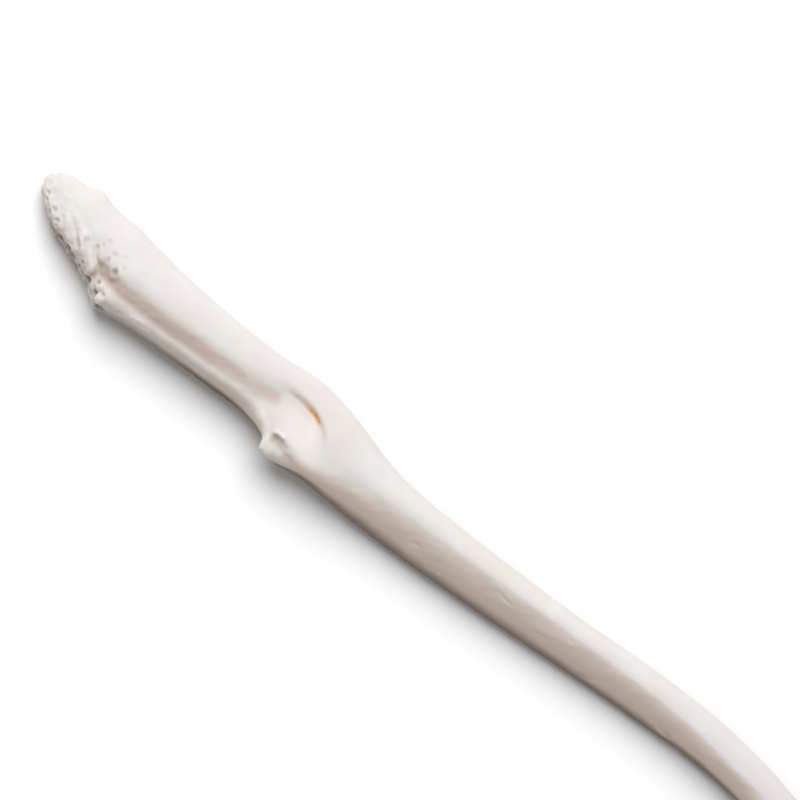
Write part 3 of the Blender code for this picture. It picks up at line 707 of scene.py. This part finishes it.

# %% [markdown]
# ## Stains and painted shade along lines
#
# The slit is stained ochre, and the pits are browned and darkened as told above. The groove, its floor
# and the wall of the wound get painted shade in a tan tint, where these creases turn from the light, and
# the nook under the finger of bone gets a painted shadow. It stays pale where it was rubbed, as on the
# keel. Each stain and painted shade is a number from 0 to 1 on every point, so it sits on the shape and
# looks right from any side. A picture laid over the bone would smear down its sides. `painted` lays one
# along a line. The higher its core is, the wider it is full before it fades. `SPONGY_EDGE` follows the
# pits along the base's lower edge, where the bone is browner, and `VALLEY` the nook under the finger of
# bone.

# %% Paint along lines
VALLEY = [(30.9, -6.15), (31.5, -6.5)]
SPONGY_EDGE = [(2.4, -2.75), (3.2, -3.2), (4.4, -3.35), (5.3, -3.75), (6.3, -4.0)]
EDGE_SHARE = 0.6
GROOVE_FLOOR = [
    (8.8, -4.2), (8.9, -3.6), (10.2, -3.9), (12, -4.08), (14, -4.12), (18, -4.08), (22, -4.0),
]
FLOOR_SHARE = 0.6
FLOOR_FADES = ((0.25, (9.2, 10.2)), (0.2, (13, 20)))
GROOVE_SHADE_ALONG = [
    (8.1, 0), (9.0, 0.8), (20, 0.75), (24, 0.4), (26, 0.4), (28, 0.95), (29, 0.75), (30, 0.1), (31, 0),
]
GROOVE_SHADE_SHIFT = 0.2
SLIT_STAIN_STARTS = (30.4, 32.4)
RUBBED_SHARE = 0.55
plan_u, plan_v = bone[..., 0], bone[..., 1]


def painted(points, width, core=1.0, shift=0.0):
    away = distance_to_line(plan_u, plan_v - shift, points)
    return np.clip(core - away / width, 0, 1) * on_top


floor_share = FLOOR_SHARE
for loss, reach in FLOOR_FADES:
    floor_share = floor_share - loss * smooth_step(*reach, plan_u)
# Painted shade on the groove's floor, in a brown tint.
floor_painted_shade = painted(GROOVE_FLOOR, width=0.55) * floor_share
edge_stain = EDGE_SHARE * painted(SPONGY_EDGE, width=0.32, core=1.3)
# Painted shade in the groove, in a tan tint.
groove_painted_shade = painted(GROOVE, width=0.62, core=1.5, shift=GROOVE_SHADE_SHIFT)
groove_painted_shade = groove_painted_shade * line_through(GROOVE_SHADE_ALONG)(plan_u)
slit_stain = painted(SLIT, width=0.16, core=1.6) * smooth_step(*SLIT_STAIN_STARTS, plan_u)
# Painted shadow in the nook under the finger of bone.
valley_painted_shadow = painted(VALLEY, width=0.55)
rubbed = RUBBED_SHARE * painted(KEEL, width=0.5, core=1.4)
print("the groove's stain reaches", round(float(groove_painted_shade.max()), 2), "and the slit's", slit_stain.max())

# %% [markdown]
# ## Painted shade and light of the wound
#
# The steep wall of the wound is a little darker: painted shade in a tan tint, where it turns from the
# light. The bone that healed below it is painted whiter than the rest, partly as healed bone and partly
# as painted light where it faces the light. So are the strip on the spur and the wrinkles of the keel.
# The rim is itself a line, so both follow how far a point lies above or below it.

# %% Paint the wound
RIM_SHADE_ABOVE = 0.2
RIM_SHADE_WIDTH = 0.5
RIM_SHADE_SHARE = 0.8
RIM_SHADE_STARTS = (28, 30.5)
RIM_SHADE_ENDS = (34, 35.2)
HEALED_BELOW_RIM = 0.3
HEALED_FADES = (2.6, 4.2)
HEALED_STARTS = (29, 31)
HEALED_ENDS = (34.2, 36)
rim = line_through(WOUND_RIM)(plan_u)
# Painted shade: the steep wall under the rim, turned from the light, is tinted tan.
rim_painted_shade = np.clip(1 - np.abs(plan_v - (rim + RIM_SHADE_ABOVE)) / RIM_SHADE_WIDTH, 0, 1)
rim_painted_shade = rim_painted_shade * smooth_step(*RIM_SHADE_STARTS, plan_u) * (1 - smooth_step(*RIM_SHADE_ENDS, plan_u))
rim_painted_shade = RIM_SHADE_SHARE * rim_painted_shade * on_top
below_rim = rim - HEALED_BELOW_RIM - plan_v
# Painted light in part: the healed floor, the strip and the wrinkles are tinted whiter where they face the
# light, besides being whiter healed bone.
healed = smooth_step(0, 1, below_rim) * (1 - smooth_step(*HEALED_FADES, below_rim))
healed = healed * smooth_step(*HEALED_STARTS, plan_u) * (1 - smooth_step(*HEALED_ENDS, plan_u)) * on_top
healed = np.maximum(healed, painted(STRIP, width=0.45, core=2))
for wrinkle in WRINKLES:
    healed = np.maximum(healed, painted(wrinkle, width=0.1, core=1.4))
print(int((healed > 0.5).sum()), "points are healed bone")

# %% [markdown]
# ## Painted shade on the slopes
#
# The slope on the side away from the light gets painted shade: a warmer, darker tint. Low down and
# underneath it is darker tan, partly the bone's own tan and partly painted shade. Which way the surface
# faces decides how much of each a point gets, and two lines along the bone say where they are strong. On
# the slope both fade towards the tip, which is paler, and both are weaker on the rubbed keel. Underneath,
# the tan runs the whole length.

# %% Paint shade on the slopes
SHADE_FROM = [(0, 0.86), (27, 0.87), (34, 0.82), (42, 0.74), (58, 0.77), (70, 0.82), (82, 0.87)]
WARM_ALONG = [
    (0, 0.1), (9.5, 0.1), (12, 0.4), (15, 0.9), (26, 0.9), (27.5, 0.85), (29.6, 0.2), (31.3, 0.0),
    (33, 0.5), (35, 0.9), (90, 0.9), (97, 0.5), (100, 0.1),
]
WARM_FACING = (0.05, 0.75)
LOW_ALONG = [
    (0, 0.15), (9.5, 0.15), (12, 0.6), (15, 0.75), (19, 0.8), (21.5, 1.0), (28.5, 1.0), (29.4, 0.7),
    (29.9, 0.1), (31.2, 0.1), (32.2, 0.9), (90, 0.9), (97, 0.4), (100, 0.0),
]
LOW_FULL = 0.975
RUBBED_OFF_LOW = 0.6
UNDERSIDE_FACING = (-0.6, -0.05)
# Painted shade with tan: the lower slope and the underside are darkened, partly the bone's own tan.
low_shade_and_tan = smooth_step(line_through(SHADE_FROM)(plan_u), LOW_FULL, -facing[..., 1])
low_shade_and_tan = low_shade_and_tan * line_through(LOW_ALONG)(plan_u) * (1 - RUBBED_OFF_LOW * rubbed)
low_shade_and_tan = np.maximum(1 - smooth_step(*UNDERSIDE_FACING, facing[..., 2]), low_shade_and_tan)
# Painted shade: the slope facing away from the light is tinted warmer and darker.
warm_painted_shade = (1 - rubbed) * smooth_step(*WARM_FACING, -facing[..., 1])
warm_painted_shade = warm_painted_shade * np.sqrt(line_through(WARM_ALONG)(plan_u))
# Of these tints, the slit's ochre is the bone's own colour; the others are painted shade and painted light,
# partly mixed with the bone's own tan, brown and white.
stains_and_shades = {
    "healed": healed,
    "warm_shade": warm_painted_shade,
    "low": low_shade_and_tan,
    "pit": np.maximum.reduce([pit_shade_and_brown, edge_stain, floor_painted_shade, pore_shade_and_brown]),
    "slit": slit_stain,
    "groove": np.maximum.reduce([groove_painted_shade, rim_painted_shade, valley_painted_shadow]),
}
print({name: round(float(values.mean()), 3) for name, values in stains_and_shades.items()}, "on average")

# %% [markdown]
# ## The mesh
#
# The rings become quads, and a fan of triangles closes each end. `PLAN_MIDDLE` is the plan's point that
# sits at the origin. What would lie below the table is levelled to it, which makes the small flats that
# the bone rests on. The stains, painted shade and painted light become attributes on the points, where
# the material can read them by name.

# %% Build the bone
MILLIMETRE = 0.001
PLAN_MIDDLE = (52.204, -10.279)


def add_stain_or_shade(data, name, values):
    layer = data.attributes.new(name, "FLOAT", "POINT")
    flat = np.concatenate([values.ravel(), np.zeros(len(data.vertices) - values.size)])
    layer.data.foreach_set("value", flat.astype(np.float32))


def bone_object(name, grid, stains_and_shades):
    mesh = bmesh.new()
    placed = grid - np.array([*PLAN_MIDDLE, 0])
    placed[..., 2] = np.maximum(placed[..., 2], 0)
    rings = [[mesh.verts.new(point) for point in ring] for ring in placed * MILLIMETRE]
    for one, other in zip(rings[:-1], rings[1:]):
        for i in range(RING_POINTS):
            j = (i + 1) % RING_POINTS
            mesh.faces.new((one[i], one[j], other[j], other[i]))
    for ring, step in ((rings[0], -1), (rings[-1], 1)):
        pole = mesh.verts.new(np.mean([vert.co for vert in ring], axis=0))
        for i in range(RING_POINTS):
            j = (i + 1) % RING_POINTS
            mesh.faces.new((ring[i], ring[j], pole)[::step])
    bmesh.ops.recalc_face_normals(mesh, faces=mesh.faces)
    data = bpy.data.meshes.new(name)
    mesh.to_mesh(data)
    mesh.free()
    for stain, values in stains_and_shades.items():
        add_stain_or_shade(data, stain, values)
    data.shade_smooth()
    made = bpy.data.objects.new(name, data)
    bpy.context.scene.collection.objects.link(made)
    return made


baculum = bone_object("bleached_bone", bone, stains_and_shades)
print(len(baculum.data.polygons), "faces")

# %% [markdown]
# ## Colours and nodes
#
# Colours are picked as hex codes, the way a paint chart gives them, and a shader wants them linear, so
# one function converts them. Another adds a node with its settings and its links, which keeps the
# material below short.


# %% Colours and nodes
def linear(code):
    channels = [int(code[i : i + 2], 16) / 255 for i in (1, 3, 5)]
    return [c / 12.92 if c <= 0.04045 else ((c + 0.055) / 1.055) ** 2.4 for c in channels] + [1.0]


def add_node(tree, kind, settings=(), sockets=()):
    made = tree.nodes.new(kind)
    for name, value in dict(settings).items():
        setattr(made, name, value)
    for name, value in dict(sockets).items():
        if isinstance(value, bpy.types.NodeSocket):
            tree.links.new(value, made.inputs[name])
        else:
            made.inputs[name].default_value = value
    return made


BLEACHED = linear("#D6D4D2")
IVORY = linear("#D3CEC6")
ROSY_IVORY = linear("#D4CECD")
# The next tint is partly the white of healed bone and partly painted light.
HEALED_AND_LIT_WHITE = linear("#DED8D5")
SHADED_IVORY = linear("#D8C7B8")
# The next tint darkens the low side and the underside: painted shade, partly the bone's own tan.
LOW_SHADE_TAN = linear("#705D4E")
# The next tint is the tan of the painted shade in the groove, on the wound's wall and in the nook.
CREASE_SHADE_TAN = linear("#C9B9B0")
# The next tint browns and darkens pits, pores and the groove's floor: brown stain and painted shade.
PIT_SHADE_BROWN = linear("#8E755E")
OCHRE = linear("#D9A764")
print("bleached bone reflects", round(BLEACHED[0], 2), "of red light")

# %% [markdown]
# ## Clouds, stains and painted shade
#
# The white of bleached bone isn't even: ivory and rosy clouds, about 6 and 2.7 mm wide, lie under the
# stains, painted shade and painted light. Each cloud, stain and painted shade or light is a layer, which
# is an amount and a tint. The later ones lie over the earlier ones.

# %% Layers of colour
CLOUDS = ((6.0, IVORY), (2.7, ROSY_IVORY))
CLOUD_DETAIL = 3
CLOUD_EDGES = (0.38, 0.66)
SHADE_AND_STAIN_TINTS = (
    ("healed", HEALED_AND_LIT_WHITE),
    ("warm_shade", SHADED_IVORY),
    ("low", LOW_SHADE_TAN),
    ("groove", CREASE_SHADE_TAN),
    ("pit", PIT_SHADE_BROWN),
    ("slit", OCHRE),
)


def tint_layers(tree, place):
    layers = []
    low, high = CLOUD_EDGES
    for size, tint in CLOUDS:
        sockets = {"Vector": place, "Scale": 1 / (size * MILLIMETRE), "Detail": CLOUD_DETAIL}
        cloud = add_node(tree, "ShaderNodeTexNoise", sockets=sockets).outputs[0]
        sockets = {"Value": cloud, "From Min": low, "From Max": high}
        patch = add_node(tree, "ShaderNodeMapRange", sockets=sockets).outputs[0]
        layers.append((patch, tint))
    for name, tint in SHADE_AND_STAIN_TINTS:
        amount = add_node(tree, "ShaderNodeAttribute", {"attribute_name": name}).outputs["Fac"]
        layers.append((amount, tint))
    return layers


print(len(CLOUDS), "clouds and", len(SHADE_AND_STAIN_TINTS), "stains_and_shades")

# %% [markdown]
# ## Bleached bone
#
# The bone is dry compact bone, grown in thin layers, cleaned and bleached. To the eye it is chalky and
# off-white, with a soft, wide sheen and no sharp reflection, so it is rough and its specular is low.
# Light goes a little way in before it comes out, warmer the deeper it went, so there is some subsurface
# scattering. A bump with a grain of 0.4 mm breaks up the sheen. Real grain is finer, too fine to show in
# the picture.

# %% The bone's finish
SHEEN_GRAIN = 0.4
SHEEN_GRAIN_HEIGHT = 0.04
LIGHT_GOES_IN = 1.2


def bleached_bone():
    material = bpy.data.materials.new("bleached_bone")
    material.use_nodes = True
    tree = material.node_tree
    shader = tree.nodes["Principled BSDF"]
    place = add_node(tree, "ShaderNodeTexCoord").outputs["Object"]
    colour = BLEACHED
    for amount, tint in tint_layers(tree, place):
        mix = add_node(tree, "ShaderNodeMix", {"data_type": "RGBA"}, {0: amount, 6: colour, 7: tint})
        colour = mix.outputs[2]
    tree.links.new(colour, shader.inputs["Base Color"])
    shader.inputs["Roughness"].default_value = 0.7
    shader.inputs["Specular IOR Level"].default_value = 0.35
    shader.inputs["IOR"].default_value = 1.54
    shader.inputs["Subsurface Weight"].default_value = 0.2
    shader.inputs["Subsurface Radius"].default_value = (1.0, 0.6, 0.4)
    shader.inputs["Subsurface Scale"].default_value = LIGHT_GOES_IN * MILLIMETRE
    sockets = {"Vector": place, "Scale": 1 / (SHEEN_GRAIN * MILLIMETRE), "Detail": 4}
    grain = add_node(tree, "ShaderNodeTexNoise", sockets=sockets).outputs[0]
    sockets = {"Strength": 0.15, "Distance": SHEEN_GRAIN_HEIGHT * MILLIMETRE, "Height": grain}
    tree.links.new(add_node(tree, "ShaderNodeBump", sockets=sockets).outputs[0], shader.inputs["Normal"])
    return material


baculum.data.materials.append(bleached_bone())
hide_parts("baculum")
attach(baculum, "root")
print("the finish has", len(baculum.data.materials[0].node_tree.nodes), "nodes")

# %% [markdown]
# ## Table
#
# The bone lies on plain white card, which is matte: it takes the shadow and shows no reflection. The
# plane is far larger than the picture, so that its edges stay out of it.

# %% Table
CARD_WHITE = linear("#FAFAFA")
TABLE_SIZE = 3.0


def white_card():
    material = bpy.data.materials.new("white_card")
    material.use_nodes = True
    shader = material.node_tree.nodes["Principled BSDF"]
    shader.inputs["Base Color"].default_value = CARD_WHITE
    shader.inputs["Roughness"].default_value = 0.9
    shader.inputs["Specular IOR Level"].default_value = 0.0
    return material


bpy.ops.mesh.primitive_plane_add(size=TABLE_SIZE)
table = bpy.context.object
table.name = "table"
table.data.materials.append(white_card())
print("the table is", TABLE_SIZE, "m wide")

# %% [markdown]
# ## Light
#
# One large soft disk of light stands high beyond the bone's upper edge, so the shadow is short and soft
# and falls below the lower edge. A smaller light would draw a harder shadow. A dim white sky fills the
# rest, and the plain view transform leaves the whites white.

# %% Lights
KEY_ELEVATION = 53.5
KEY_AZIMUTH = 121.0
KEY_DISTANCE = 0.6
KEY_SIZE = 0.5
KEY_POWER = 3.9
SKY_STRENGTH = 0.33


def softbox():
    up, around = math.radians(KEY_ELEVATION), math.radians(KEY_AZIMUTH)
    direction = Vector((math.cos(up) * math.cos(around), math.cos(up) * math.sin(around), math.sin(up)))
    light = bpy.data.lights.new("softbox", "AREA")
    light.shape = "DISK"
    light.size = KEY_SIZE
    light.energy = KEY_POWER
    made = bpy.data.objects.new("softbox", light)
    made.location = direction * KEY_DISTANCE
    made.rotation_euler = direction.to_track_quat("Z", "Y").to_euler()
    bpy.context.scene.collection.objects.link(made)
    return made


def white_sky():
    world = bpy.data.worlds.new("white_sky")
    world.use_nodes = True
    background = world.node_tree.nodes["Background"]
    background.inputs["Color"].default_value = (1, 1, 1, 1)
    background.inputs["Strength"].default_value = SKY_STRENGTH
    bpy.context.scene.world = world
    bpy.context.scene.view_settings.view_transform = "Standard"


key = softbox()
white_sky()
print("the softbox stands", round(key.location.z, 2), "m above the table")

# %% [markdown]
# ## Camera
#
# The camera looks straight down. The bone runs 37 degrees down to the right in the picture, so the camera
# is turned by that much, and the picture's edge cuts off the hook. A long lens keeps the perspective
# slight. Its distance is worked out, so that `PICTURE_WIDTH` fills the picture at the height of the
# bone's edges.

# %% Camera
PICTURE_TURN = math.radians(37.0)
PICTURE_CENTRE = (37.81, 3.45)
PICTURE_WIDTH = 72.73
EDGE_HEIGHT = 2.5
LENS = 400.0
SENSOR = 36.0
CLIP_START = 0.01


def camera():
    data = bpy.data.cameras.new("camera")
    data.lens, data.sensor_width = LENS, SENSOR
    data.clip_start = CLIP_START
    made = bpy.data.objects.new("camera", data)
    away = PICTURE_WIDTH * LENS / SENSOR + EDGE_HEIGHT
    x, y = PICTURE_CENTRE[0] - PLAN_MIDDLE[0], PICTURE_CENTRE[1] - PLAN_MIDDLE[1]
    made.location = Vector((x, y, away)) * MILLIMETRE
    made.rotation_euler = (0, 0, PICTURE_TURN)
    bpy.context.scene.collection.objects.link(made)
    bpy.context.scene.camera = made
    return made


print("the camera stands", round(camera().location.z, 3), "m above the table")
